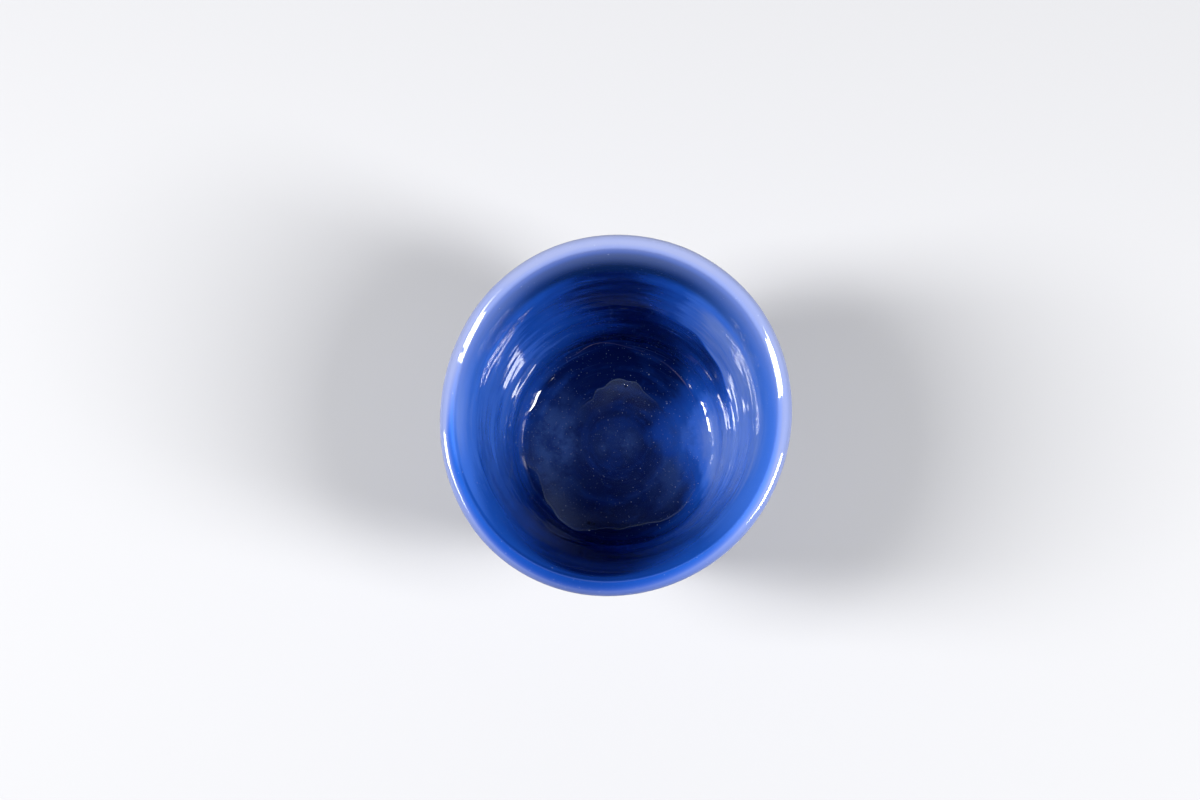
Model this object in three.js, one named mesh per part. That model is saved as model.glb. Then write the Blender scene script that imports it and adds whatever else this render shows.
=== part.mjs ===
// A wheel-thrown cup without a handle: a clay body with a turned foot ring, under coats of blue glaze.
// Units are millimetres, +Z is up, and the origin is the middle of the foot ring's underside.
// The clay's outline is drawn once, and each coat of glaze is laid on a stretch of that outline.
import * as THREE from "three";

// The cup, measured over the glaze
const RIM_DIAMETER = 85;
const HEIGHT = 84;
const LIP_THICKNESS = 3.8;
const LIP_TILT_DEGREES = 24;
const FLARE_HEIGHT = 20; // from the neck, where the wall starts to flare, up to the rim
const FLARE_WIDTH = 4.8; // how far the rim stands out past the neck
const WALL_THICKNESS = 4;
const WALL_TAPER = 5.5; // how far the wall draws in from the neck down to the heel
const HEEL_HEIGHT = 20; // where the wall turns in to the foot
const FLOOR_THICKNESS = 7;

// The floor's inside corner, in clay
const FLOOR_CORNER_RADIUS = 4.6;

// The turned foot, in bare clay
const FOOT_INSET = 7.2; // how far the foot stands in from the heel
const FOOT_HEIGHT = 6.5;
const FOOT_RING_WIDTH = 4.6;
const FOOT_EDGE_CHAMFER = 0.8;
const FOOT_TOP_TILT_DEGREES = 32; // how steeply the heel leaves the foot
const RECESS_DEPTH = 5;
const RECESS_CORNER_RADIUS = 1.6;

// The coats, each a hair clear of what it lies on
const GLAZE_THICKNESS = 0.7;
const BOND_GAP = 0.1;

// The pool of clear glaze on the floor
const POOL_DEPTH = 0.8;
const POOL_EDGE_RADIUS = 0.6;
const POOL_MARGIN = 0.3; // least width of bare floor between its edge and the floor's corner

// Waves round an edge: how many, how high in millimetres, and the bearing of a crest in degrees
const RIM_WAVES = [[2, 0.95, 69], [3, 0.2, -3], [4, 0.12, 45]];
const POOL_WAVES = [[1, 4, -102], [3, 1.1, -41], [4, 0.5, -9], [5, 0.9, 26]];

// Facets
const SEGMENTS = 64; // round the cup
const STEPS = 5; // along each curve of the outline

const CLAY = { color: 0xd9cdb8, roughness: 0.85, metalness: 0 };
const COBALT_GLAZE = { color: 0x0b2f8f, roughness: 0.15, metalness: 0 };
const PALE_GLAZE = { color: 0x8fa3e6, roughness: 0.15, metalness: 0 };
const CLEAR_GLAZE = { color: 0x7d88a8, roughness: 0.08, metalness: 0 };

const degrees = THREE.MathUtils.degToRad;
const point = (radius, height) => new THREE.Vector2(radius, height);

// Where the neck, the heel and the foot stand, over the glaze
const neckHeight = HEIGHT - FLARE_HEIGHT;
const neckRadius = RIM_DIAMETER / 2 - FLARE_WIDTH;
const heelRadius = neckRadius - WALL_TAPER;
const footRadius = heelRadius - FOOT_INSET;
const recessRadius = footRadius - FOOT_RING_WIDTH;

// The clay's own sizes, under the coats
const clayRimRadius = RIM_DIAMETER / 2 - GLAZE_THICKNESS;
const clayLipRadius = LIP_THICKNESS / 2 - GLAZE_THICKNESS;
const clayWall = WALL_THICKNESS - 2 * GLAZE_THICKNESS;
const clayFloorHeight = RECESS_DEPTH + FLOOR_THICKNESS - 2 * GLAZE_THICKNESS;

// Where the outline turns, in clay
const lipCentre = point(clayRimRadius - clayLipRadius, HEIGHT - GLAZE_THICKNESS - clayLipRadius);
const lipTilt = degrees(LIP_TILT_DEGREES);
const lipUpward = point(Math.sin(lipTilt), Math.cos(lipTilt));
const lipOutward = point(Math.cos(lipTilt), -Math.sin(lipTilt));
const lipOutside = lipCentre.clone().addScaledVector(lipOutward, clayLipRadius);
const lipInside = lipCentre.clone().addScaledVector(lipOutward, -clayLipRadius);
const neckOutside = point(neckRadius - GLAZE_THICKNESS, neckHeight);
const neckInside = point(neckOutside.x - clayWall, neckHeight);
const heelOutside = point(heelRadius - GLAZE_THICKNESS, HEEL_HEIGHT);
const footTop = point(footRadius, FOOT_HEIGHT);
const footTopTilt = degrees(FOOT_TOP_TILT_DEGREES);
const footTopUpward = point(Math.cos(footTopTilt), Math.sin(footTopTilt));

// The wall leans out evenly from heel to neck, and its inside face is parallel to its outside
const wallUpward = neckOutside.clone().sub(heelOutside).normalize();
const wallRise = wallUpward.x / wallUpward.y;
const insideWallAt = (height) => point(neckInside.x - (neckHeight - height) * wallRise, height);

// The floor's corner is an arc that meets both the wall and the floor smoothly
const cornerTop = insideWallAt(clayFloorHeight + FLOOR_CORNER_RADIUS * (1 - wallUpward.x));
const floorEdge = point(cornerTop.x - FLOOR_CORNER_RADIUS * wallUpward.y, clayFloorHeight);
const cornerCentre = point(floorEdge.x, clayFloorHeight + FLOOR_CORNER_RADIUS);
const floorMiddle = point(0, clayFloorHeight);

// A smooth curve between two points that leaves and arrives along the given directions
function sweep(from, leaving, to, arriving) {
  const reach = from.distanceTo(to) / 3;
  const first = from.clone().addScaledVector(leaving, reach);
  const second = to.clone().addScaledVector(arriving, -reach);
  return new THREE.CubicBezierCurve(from, first, second, to);
}

// An arc about a centre, drawn from the first angle to the second
function arc(centre, radius, startAngle, endAngle) {
  const clockwise = endAngle < startAngle;
  return new THREE.EllipseCurve(centre.x, centre.y, radius, radius, startAngle, endAngle, clockwise);
}

// Three stretches of the clay's outline, drawn up the outside, over the lip and down the inside
const outsideStretch = [
  sweep(footTop, footTopUpward, heelOutside, wallUpward),
  new THREE.LineCurve(heelOutside, neckOutside),
  sweep(neckOutside, wallUpward, lipOutside, lipUpward),
];
const lipStretch = [arc(lipCentre, clayLipRadius, -lipTilt, Math.PI - lipTilt)];
const insideStretch = [
  sweep(lipInside, lipUpward.clone().negate(), neckInside, wallUpward.clone().negate()),
  new THREE.LineCurve(neckInside, cornerTop),
  arc(cornerCentre, FLOOR_CORNER_RADIUS, -wallUpward.angleTo(point(0, 1)), -Math.PI / 2),
  new THREE.LineCurve(floorEdge, floorMiddle),
];

// Points along a stretch, each with the direction that points away from the clay
function stations(stretch) {
  const found = [];
  stretch.forEach((curve, order) => {
    const steps = curve.isLineCurve ? 1 : STEPS;
    for (let step = order === 0 ? 0 : 1; step <= steps; step += 1) {
      const along = curve.getTangent(step / steps);
      found.push({ place: curve.getPoint(step / steps), along, away: point(along.y, -along.x) });
    }
  });
  return found;
}

// A stretch lifted off the clay by a distance, with its ends drawn in where another coat meets it
function lifted(stretch, distance, drawnInAtStart, drawnInAtEnd) {
  const marks = stations(stretch);
  const places = marks.map(({ place, away }) => place.clone().addScaledVector(away, distance));
  places[0].addScaledVector(marks[0].along, drawnInAtStart);
  places.at(-1).addScaledVector(marks.at(-1).along, -drawnInAtEnd);
  return places;
}

// The closed outline of a coat: its glossy face, then back along the face next to the clay
function coatOutline(stretch, drawnInAtStart, drawnInAtEnd) {
  const glossy = lifted(stretch, GLAZE_THICKNESS, drawnInAtStart, drawnInAtEnd);
  const hidden = lifted(stretch, BOND_GAP, drawnInAtStart, drawnInAtEnd);
  return [...hidden.reverse(), ...glossy];
}

// The height of a set of waves at a bearing round the axis
function wavesAt(waves, bearing) {
  let sum = 0;
  for (const [count, height, crest] of waves) sum += height * Math.cos(count * (bearing - degrees(crest)));
  return sum;
}

// The highest of a set of waves, over one turn
function crestOf(waves) {
  const bearings = Array.from({ length: SEGMENTS }, (_, step) => (step / SEGMENTS) * 2 * Math.PI);
  return Math.max(...bearings.map((bearing) => wavesAt(waves, bearing)));
}

// Turn an outline about the axis, then scale each point's distance from the axis
function turned(outline, scaleAt) {
  const geometry = new THREE.LatheGeometry(outline, SEGMENTS);
  geometry.rotateX(Math.PI / 2);
  const places = geometry.attributes.position;
  for (let index = 0; index < places.count; index += 1) {
    const x = places.getX(index);
    const y = places.getY(index);
    const scale = scaleAt(Math.atan2(y, x), places.getZ(index));
    places.setXY(index, x * scale, y * scale);
  }
  geometry.computeVertexNormals();
  return geometry;
}

// The hand-made rim is a little out of round, and the foot, cut on the wheel, is true
function outOfRound(bearing, height) {
  const share = Math.max(0, height - FOOT_HEIGHT) / (HEIGHT - FOOT_HEIGHT);
  return 1 + (share ** 2 * wavesAt(RIM_WAVES, bearing)) / (RIM_DIAMETER / 2);
}

function piece(name, geometry, finish) {
  const mesh = new THREE.Mesh(geometry, new THREE.MeshStandardMaterial(finish));
  mesh.name = name;
  return mesh;
}

// The wall, floor and foot ring, one piece of fired clay
function clayBody() {
  const ringInside = recessRadius + FOOT_EDGE_CHAMFER;
  const ringOutside = footRadius - FOOT_EDGE_CHAMFER;
  const recessCorner = point(recessRadius - RECESS_CORNER_RADIUS, RECESS_DEPTH - RECESS_CORNER_RADIUS);
  const underside = [
    point(0, RECESS_DEPTH),
    ...arc(recessCorner, RECESS_CORNER_RADIUS, Math.PI / 2, 0).getPoints(STEPS),
    point(recessRadius, FOOT_EDGE_CHAMFER),
    point(ringInside, 0),
    point(ringOutside, 0),
    point(footRadius, FOOT_EDGE_CHAMFER),
  ];
  const glazedFace = lifted([...outsideStretch, ...lipStretch, ...insideStretch], 0, 0, 0);
  return piece("clay_body", turned([...underside, ...glazedFace], outOfRound), CLAY);
}

// The blue coat inside, from the lip down to the middle of the floor
function linerGlaze() {
  return piece("liner_glaze", turned(coatOutline(insideStretch, BOND_GAP, 0), outOfRound), COBALT_GLAZE);
}

// The blue coat outside, from the glaze line above the foot up to the lip
function outerGlaze() {
  const outline = coatOutline(outsideStretch, 0, BOND_GAP);
  return piece("outer_glaze", turned([...outline, outline[0]], outOfRound), COBALT_GLAZE);
}

// The pale coat over the lip, where the glaze runs thin
function lipGlaze() {
  const outline = coatOutline(lipStretch, 0, 0);
  return piece("lip_glaze", turned([...outline, outline[0]], outOfRound), PALE_GLAZE);
}

// The coat in the recess, flat under the floor and clear of the recess's corner
function baseGlaze() {
  const reach = recessRadius - RECESS_CORNER_RADIUS;
  const lower = RECESS_DEPTH - GLAZE_THICKNESS;
  const upper = RECESS_DEPTH - BOND_GAP;
  const outline = [point(0, lower), point(reach, lower), point(reach, upper), point(0, upper)];
  return piece("base_glaze", turned(outline, outOfRound), COBALT_GLAZE);
}

// The clear pool on the floor: level on top, with a rounded, lobed edge that stays on the flat of the floor
function glazePool() {
  const bottom = clayFloorHeight + GLAZE_THICKNESS + BOND_GAP;
  const reach = floorEdge.x - POOL_MARGIN - crestOf(POOL_WAVES);
  const shoulder = point(reach - POOL_EDGE_RADIUS, bottom + POOL_DEPTH - POOL_EDGE_RADIUS);
  const outline = [
    point(0, bottom),
    point(reach, bottom),
    ...arc(shoulder, POOL_EDGE_RADIUS, 0, Math.PI / 2).getPoints(STEPS),
    point(0, bottom + POOL_DEPTH),
  ];
  const lobed = (bearing) => 1 + wavesAt(POOL_WAVES, bearing) / reach;
  return piece("glaze_pool", turned(outline, lobed), CLEAR_GLAZE);
}

const cup = new THREE.Group();
cup.add(clayBody(), linerGlaze(), outerGlaze(), lipGlaze(), baseGlaze(), glazePool());

export default cup;
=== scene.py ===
# %% [markdown]
# # A thrown cup under blue glaze
# The object is a cup without a handle, thrown on a wheel and dipped in cobalt glaze. Seen from above it is
# a pale lip, a blue wall with brushed streaks and throwing rings, and a floor with a pool of clear glaze.
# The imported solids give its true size. This script dresses them: every coat becomes a fine surface with its
# own relief, and every finish is worked out by shader nodes.

# %% The frame
import math

import bpy
import numpy as np
from mathutils import Matrix, Vector


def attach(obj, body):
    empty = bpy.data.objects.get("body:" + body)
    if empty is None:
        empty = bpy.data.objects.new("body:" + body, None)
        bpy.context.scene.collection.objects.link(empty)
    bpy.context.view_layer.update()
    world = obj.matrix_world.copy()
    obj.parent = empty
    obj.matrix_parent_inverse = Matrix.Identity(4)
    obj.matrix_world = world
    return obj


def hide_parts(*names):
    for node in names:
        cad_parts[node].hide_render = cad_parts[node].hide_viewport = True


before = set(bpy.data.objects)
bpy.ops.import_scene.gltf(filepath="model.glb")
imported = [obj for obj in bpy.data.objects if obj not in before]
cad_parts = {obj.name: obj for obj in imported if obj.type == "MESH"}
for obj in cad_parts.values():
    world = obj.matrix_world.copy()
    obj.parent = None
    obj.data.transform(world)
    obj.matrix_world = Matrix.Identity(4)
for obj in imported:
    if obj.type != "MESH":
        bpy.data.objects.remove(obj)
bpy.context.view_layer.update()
print("solids in the frame:", sorted(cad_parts))

# %% [markdown]
# ## The sizes
# A turned pot is one outline spun about an axis, so a few sizes say it all: how wide the rim is, how tall
# the cup stands, how thick the wall and the glaze are. They are the same as the solids'.

# %% Sizes in millimetres
MM = 0.001
RIM_RADIUS = 42.5
HEIGHT = 84.0
LIP_THICKNESS = 3.8
LIP_TILT = math.radians(24.0)
FLARE_HEIGHT = 20.0
FLARE_WIDTH = 4.8
WALL_THICKNESS = 4.0
WALL_TAPER = 5.5
HEEL_HEIGHT = 20.0
FLOOR_THICKNESS = 7.0
FLOOR_CORNER_RADIUS = 4.6
FOOT_INSET = 7.2
FOOT_HEIGHT = 6.5
FOOT_RING_WIDTH = 4.6
FOOT_EDGE_CHAMFER = 0.8
FOOT_TOP_TILT = math.radians(32.0)
RECESS_DEPTH = 5.0
RECESS_CORNER_RADIUS = 1.6
GLAZE = 0.7
BOND_GAP = 0.1
POOL_DEPTH = 0.8
RIM_WAVES = [(2, 0.95, 69.0), (3, 0.2, -3.0), (4, 0.12, 45.0)]

neck_height = HEIGHT - FLARE_HEIGHT
neck_radius = RIM_RADIUS - FLARE_WIDTH
heel_radius = neck_radius - WALL_TAPER
foot_radius = heel_radius - FOOT_INSET
recess_radius = foot_radius - FOOT_RING_WIDTH
clay_lip_radius = LIP_THICKNESS / 2 - GLAZE
clay_wall = WALL_THICKNESS - 2 * GLAZE
clay_floor = RECESS_DEPTH + FLOOR_THICKNESS - 2 * GLAZE

# %% [markdown]
# ## The outline
# The clay's outline runs up the outside, over the lip and down the inside. It has three kinds of curve:
# straight runs, arcs, and sweeps that leave and arrive along a chosen direction. Each is a short formula,
# so it can be sampled as finely as a surface needs.

# %% Curves of the outline
CURVE_POINTS = 240
share = np.linspace(0.0, 1.0, CURVE_POINTS)[:, None]


def spot(radius, height):
    """A point of the outline: its distance from the axis and its height."""
    return np.array([radius, height], float)


def line(start, end):
    """A straight run: the way from start to end is walked in even shares."""
    return (1 - share) * start + share * end


def sweep(start, leaving, end, arriving):
    """A cubic Bezier whose two middle points lie a third of the span along the directions at its ends."""
    reach = np.linalg.norm(end - start) / 3
    first, second = start + leaving * reach, end - arriving * reach
    outer = (1 - share) ** 3 * start + share**3 * end
    return outer + 3 * (1 - share) ** 2 * share * first + 3 * (1 - share) * share**2 * second


def arc(centre, radius, first, last):
    """Part of a circle: the angle goes evenly from the first to the last."""
    angle = first + (last - first) * share
    return centre + radius * np.hstack([np.cos(angle), np.sin(angle)])


# %% The clay's three stretches
upright = spot(0, 1)
lip_centre = spot(RIM_RADIUS - GLAZE - clay_lip_radius, HEIGHT - GLAZE - clay_lip_radius)
lip_upward = spot(math.sin(LIP_TILT), math.cos(LIP_TILT))
lip_outward = spot(math.cos(LIP_TILT), -math.sin(LIP_TILT))
neck_outside = spot(neck_radius - GLAZE, neck_height)
neck_inside = spot(neck_outside[0] - clay_wall, neck_height)
heel_outside = spot(heel_radius - GLAZE, HEEL_HEIGHT)
foot_top = spot(foot_radius, FOOT_HEIGHT)
foot_top_upward = spot(math.cos(FOOT_TOP_TILT), math.sin(FOOT_TOP_TILT))
wall_upward = (neck_outside - heel_outside) / np.linalg.norm(neck_outside - heel_outside)
wall_lean = math.atan2(wall_upward[0], wall_upward[1])

corner_top_height = clay_floor + FLOOR_CORNER_RADIUS * (1 - wall_upward[0])
corner_top_radius = neck_inside[0] - (neck_height - corner_top_height) * math.tan(wall_lean)
corner_top = spot(corner_top_radius, corner_top_height)
floor_edge = spot(corner_top_radius - FLOOR_CORNER_RADIUS * wall_upward[1], clay_floor)
corner_centre = floor_edge + FLOOR_CORNER_RADIUS * upright

outside_curves = [
    sweep(foot_top, foot_top_upward, heel_outside, wall_upward),
    line(heel_outside, neck_outside),
    sweep(neck_outside, wall_upward, lip_centre + lip_outward * clay_lip_radius, lip_upward),
]
lip_curves = [arc(lip_centre, clay_lip_radius, -LIP_TILT, math.pi - LIP_TILT)]
inside_curves = [
    sweep(lip_centre - lip_outward * clay_lip_radius, -lip_upward, neck_inside, -wall_upward),
    line(neck_inside, corner_top),
    arc(corner_centre, FLOOR_CORNER_RADIUS, -wall_lean, -math.pi / 2),
    line(floor_edge, spot(0, clay_floor)),
]
print("floor's flat, out to", round(floor_edge[0], 2), "mm from the axis")


# %% Stretches of the outline
class Stretch:
    """Curves joined end to end, measured along their length, with the direction away from the clay."""

    def __init__(self, curves):
        joined = np.vstack([curves[0]] + [curve[1:] for curve in curves[1:]])
        steps = np.linalg.norm(np.diff(joined, axis=0), axis=1)
        kept = np.r_[True, steps > 1e-9]
        self.places = joined[kept]
        self.marks = np.r_[0.0, np.cumsum(np.linalg.norm(np.diff(self.places, axis=0), axis=1))]
        self.length = self.marks[-1]
        along = np.gradient(self.places, self.marks, axis=0)
        along /= np.linalg.norm(along, axis=1)[:, None]
        self.away = np.stack([along[:, 1], -along[:, 0]], axis=1)

    def lifted(self, distance, lift):
        """Radius and height at a distance along the stretch, moved off the clay by lift."""
        place = [np.interp(distance, self.marks, self.places[:, k]) for k in (0, 1)]
        away = [np.interp(distance, self.marks, self.away[:, k]) for k in (0, 1)]
        return place[0] + away[0] * lift, place[1] + away[1] * lift


outside, lip, inside = Stretch(outside_curves), Stretch(lip_curves), Stretch(inside_curves)
lip_half = lip.length / 2
to_floor = inside.length - floor_edge[0]
print("lengths: outside %.1f, lip %.1f, inside %.1f mm" % (outside.length, lip.length, inside.length))

# %% [markdown]
# ## Turning a surface
# A lathe spins a section. Here it is a grid: rows run along the outline and columns round the axis, so a
# point's radius and height can differ from column to column. That lets a hand-made cup be a little out of
# round, and every ring, lump and run be part of the surface.

# %% Waves and ripples
COLUMNS = 360
bearings = np.linspace(0.0, 2 * math.pi, COLUMNS, endpoint=False)[None, :]
one_round = np.zeros((1, 1))


def waves_at(waves, bearing):
    """A sum of cosines round the axis, each with its count, its height and the bearing of a crest."""
    return sum(height * np.cos(count * (bearing - math.radians(crest))) for count, height, crest in waves)


def out_of_round(height):
    """How much the radius grows: nothing at the foot, the whole of the rim's waves at the top."""
    rise = np.clip((height - FOOT_HEIGHT) / (HEIGHT - FOOT_HEIGHT), 0.0, 1.0)
    return 1 + rise**2 * waves_at(RIM_WAVES, bearings) / RIM_RADIUS


def ripples(seed, along, rounds, lengths, terms):
    """A sum of cosines with a whole number of waves round the cup, so that it closes on itself. Each term
    has its own count of rounds, wavelength along the outline and phase, and the sum has a spread of one."""
    random = np.random.default_rng(seed)
    counts = random.integers(rounds[0], rounds[1] + 1, terms) * random.choice([-1, 1], terms)
    spans = random.uniform(lengths[0], lengths[1], terms)
    phases = random.uniform(0.0, 2 * math.pi, terms)
    total = np.zeros(np.broadcast_shapes(along.shape, bearings.shape))
    for count, span, phase in zip(counts, spans, phases):
        total += np.cos(count * bearings + 2 * math.pi * along / span + phase)
    return total / math.sqrt(terms / 2)


def lumps(seed, radius, height, lengths, terms):
    """A sum of plane waves in random directions, so it has no seam and is even all round. Each wave has its
    own length and phase, and the sum has a spread of one."""
    random = np.random.default_rng(seed)
    x, y = radius * np.cos(bearings), radius * np.sin(bearings)
    total = np.zeros(np.broadcast_shapes(x.shape, np.shape(height)))
    for _ in range(terms):
        way = random.normal(size=3)
        way *= 2 * math.pi / (np.linalg.norm(way) * random.uniform(*lengths))
        total += np.cos(way[0] * x + way[1] * y + way[2] * height + random.uniform(0, 2 * math.pi))
    return total / math.sqrt(terms / 2)


def rising(value, low, high):
    """A smooth step from 0 at low to 1 at high."""
    t = np.clip((value - low) / (high - low), 0.0, 1.0)
    return t * t * (3 - 2 * t)


def around(bearing, middle, spread):
    """A bell round the cup: 1 at the middle, in degrees, and falling away on both sides over the spread."""
    apart = (bearing - math.radians(middle) + math.pi) % (2 * math.pi) - math.pi
    return np.exp(-((apart / math.radians(spread)) ** 2))


def bells(entries):
    """A sum of bells, each with its amount, the bearing of its middle and its spread."""
    return sum(amount * around(bearings, middle, spread) for amount, middle, spread in entries)


# %% [markdown]
# ## How the glaze lies
# A glaze's colour follows how thick it is, so each blue surface carries a few numbers: how thin the coat is
# over the lip, how thick it lies below, where it is hazy. The same numbers carry painted light and shade:
# lighter on the left and right, darker at the back and front, a painted grey reflection under the lip at the
# back, painted sheen on the floor and a painted glint line in the corner. They are bells round the cup and
# smooth steps along the outline. Bearings count from the photo's right, anticlockwise. Inward is the
# distance from the lip's crest, less than 0 outside.

# %% Thin glaze over the lip, with painted light and shade
# Round the cup these paint light and shade on the pale lip: it is wider and brighter at the back, where light
# falls on it, and narrower and darker at the front, in shade.
PALE_REACH = [(-0.45, 262, 60), (-0.1, 184, 16)]
PALE_TAIL = [(1.0, 30, 24), (1.3, 150, 24), (-0.28, 250, 55), (-0.6, 184, 16)]
PALE_PEAK = [(-0.55, 268, 55)]
SHORTEST_TAIL = 0.22
OUTER_PALE_REACH = 4.0
OUTER_PALE_TAIL = 3.0


def thin_glaze_and_painted_light(inward):
    """1 on the crest of the lip, dying away over some millimetres. The pale band is widest at the back and
    weakest at the front: painted light at the back and painted shade at the front."""
    reach = 0.6 + 0.2 * np.sin(bearings) + 0.15 * np.cos(bearings) + bells(PALE_REACH)
    tail = 0.5 + 1.4 * np.clip(np.sin(bearings) + 0.3, 0.0, 1.0) + bells(PALE_TAIL)
    tail = np.maximum(tail, SHORTEST_TAIL)
    peak = 0.9 + 0.1 * np.sin(bearings) + bells(PALE_PEAK)
    inner = np.exp(-np.clip(inward - reach, 0.0, None) / tail)
    outer = np.exp(-np.clip(-OUTER_PALE_REACH - inward, 0.0, None) / OUTER_PALE_TAIL)
    return peak * inner * outer


def slate_band(inward):
    """1 in the band under the lip at the back where a grey reflection and shade are painted, and 0 elsewhere.
    """
    return around(bearings, 90, 60) * rising(inward, 2.0, 4.5) * (1 - rising(inward, 10.5, 14.0))


# %% Thick and thin glaze on the wall, with painted light and shade
EVEN_LEAN = 0.4


def painted_side_light(inward, floor_at, even):
    """How light the wall is painted, from 0 to about 1: lighter right and left, where the panels light it,
    and darker at the back and front, in shade. Right of the back a patch is lighter, and a patch below it
    darker.
    All this fades on the floor, later on the right, where it paints a sheen. Even, from 0 to 1, says how
    little of it shows."""
    turned = bearings + 0.4 * rising(inward, 25.0, 75.0)
    lean = 0.86 + 0.14 * np.cos(turned)
    lean = lean * (1 - 0.97 * around(turned, 91, 36)) * (1 - around(turned, 262, 45))
    brim = 42 + 12 * np.cos(bearings + math.radians(43))
    brim = brim + 0.4 * ripples(61, inward, (4, 22), (18, 60), 12)
    below = rising(inward, brim - 1.2, brim + 2.0)
    lighter_patch = (1 - even) * around(bearings, 52, 17) * rising(inward, 14.0, 24.0) * (1 - below)
    darker_patch = (1 - even) * around(bearings, 37, 21) * below * (1 - rising(inward, brim + 8, brim + 26))
    lean = (lean + 0.2 * lighter_patch) * (1 - 0.85 * darker_patch)
    # Painted sheen: the painted side light reaches further onto the floor on the right, and a little on the
    # left.
    right_side = np.clip(np.cos(bearings - math.radians(8)), 0.0, 1.0) ** 3
    left_side = np.clip(-np.cos(bearings), 0.0, 1.0) ** 2
    fade = floor_at - 9 + 20 * right_side + 6 * left_side
    return (lean + (EVEN_LEAN - lean) * even) * (1 - rising(inward, fade - 14, fade + 9))


def thickness_and_painted_shade(inward, floor_at, even=0.0):
    """Less than 0 where the coat is thin and bright, 1 where it lies thick. It is middling under the lip and
    reaches its full value further down, sooner at the front, where shade is painted. Round the cup it carries
    the painted light and shade of the wall."""
    lean = painted_side_light(inward, floor_at, even)
    # Painted shade at the front: the coat turns dark sooner there.
    front_shade = around(bearings, 256, 52)
    bead = rising(inward, -4.0, -1.0) * (1 - rising(inward, 2.0, 3.6))
    # Under the lip: painted shade at the front and on the lower left of the lip, painted light on the left.
    under_lip = 0.15 - 0.3 * lean + 0.32 * around(bearings, 270, 38)
    under_lip = under_lip - 0.4 * around(bearings, 180, 22) * rising(inward, 0.6, 1.8)
    under_lip = under_lip + 0.4 * around(bearings, 232, 48) * bead
    full = (1.05 - 1.6 * lean) * (1 - 0.04 * rising(inward, floor_at, floor_at + 8))
    filled = rising(inward, 2.5 - 1.5 * front_shade, 11.0 + 12.0 * lean - 5.0 * front_shade)
    return under_lip + (full - under_lip) * filled


# %% Haze and painted sheen on the floor
PAINTED_SHEEN_PATCHES = [(0.8, 180, 40), (0.6, 342, 44)]
PAINTED_GLINT_SHOWS = [(1.0, 106, 9), (0.25, 80, 16), (0.6, 46, 13)]


def floor_haze_and_sheen(inward, floor_at):
    """1 where the floor is greyer: a haze at its middle, and two patches beside it on the left and right,
    which are painted sheen.
    """
    radius = floor_at + floor_edge[0] - inward
    ring = rising(radius, 7.0, 14.0) * (1 - rising(radius, 19.0, 26.0))
    return np.clip(np.exp(-((radius / 5.0) ** 2)) + bells(PAINTED_SHEEN_PATCHES) * ring, 0.0, 1.0)


def painted_glint_course():
    """Where a painted glint runs, a thin pale reflection line, in millimetres along the outline from the
    floor's
    edge: it drifts from the floor into the corner, and steps up the wall once, near the back."""
    climb = 0.045 * np.clip(81 - np.degrees(bearings), -10.0, 60.0)
    return climb - 2.2 - 1.9 * around(bearings, 102, 11)


# %% From a grid to a mesh
STEP_GROWTH = 1.2


def stacked(*grids):
    """Grids one below the other, each widened to all the columns."""
    return np.vstack([np.broadcast_to(grid, (len(grid), COLUMNS)) for grid in grids])


def ring_faces(rows, closed):
    """Quads between each row and the next, with the last column joined to the first."""
    count = rows if closed else rows - 1
    row = np.arange(count)[:, None] * COLUMNS
    after = (np.arange(count)[:, None] + 1) % rows * COLUMNS
    column = np.arange(COLUMNS)[None, :]
    beyond = (column + 1) % COLUMNS
    corners = [row + column, row + beyond, after + beyond, after + column]
    return np.stack(np.broadcast_arrays(*corners), axis=-1).reshape(-1, 4)


def turned_piece(name, radius, height, poles=None, **attributes):
    """A mesh from a grid of radii and heights. Without poles the section closes on itself. With poles it
    starts and ends on the axis, at those two heights, and each end is closed by a fan of triangles."""
    rows = radius.shape[0]
    x, y = radius * np.cos(bearings), radius * np.sin(bearings)
    points = np.stack(np.broadcast_arrays(x, y, height), axis=-1).reshape(-1, 3)
    faces = ring_faces(rows, poles is None).tolist()
    if poles is not None:
        first, last = rows * COLUMNS, rows * COLUMNS + 1
        points = np.vstack([points, [[0, 0, poles[0]], [0, 0, poles[1]]]])
        here = np.arange(COLUMNS)
        beyond = (here + 1) % COLUMNS
        end = (rows - 1) * COLUMNS
        faces += np.stack([np.full(COLUMNS, first), beyond, here], axis=1).tolist()
        faces += np.stack([end + here, end + beyond, np.full(COLUMNS, last)], axis=1).tolist()
    mesh = bpy.data.meshes.new(name)
    mesh.from_pydata((points * MM).tolist(), [], faces)
    for label, grid in attributes.items():
        values = np.broadcast_to(grid, (rows, COLUMNS)).ravel()
        if poles is not None:
            values = np.r_[values, values[0], values[-1]]
        mesh.attributes.new(label, "FLOAT", "POINT").data.foreach_set("value", values.astype(np.float32))
    mesh.polygons.foreach_set("use_smooth", np.ones(len(mesh.polygons), bool))
    mesh.set_sharp_from_angle(angle=math.radians(55))
    mesh.update()
    piece = bpy.data.objects.new(name, mesh)
    bpy.context.scene.collection.objects.link(piece)
    print(name, len(mesh.vertices), "points,", sum(len(f) - 2 for f in faces), "triangles")
    return piece


def graded(length, fine, coarse):
    """Distances from 0 to length whose steps grow from fine to coarse."""
    steps = [fine]
    while sum(steps) < length:
        steps.append(min(steps[-1] * STEP_GROWTH, coarse))
    marks = np.r_[0.0, np.cumsum(steps)]
    return (marks * length / marks[-1])[:, None]


# %% [markdown]
# ## The liner glaze
# The inside coat is what the photo shows best. Fingers left a spiral of shallow rings up the wall and over
# the floor, and the glaze set in runs, lumps and small dents. The rings are one cosine whose phase also turns
# with the bearing, which makes a spiral. The relief fades out under the lip, where the coats meet.

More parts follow.
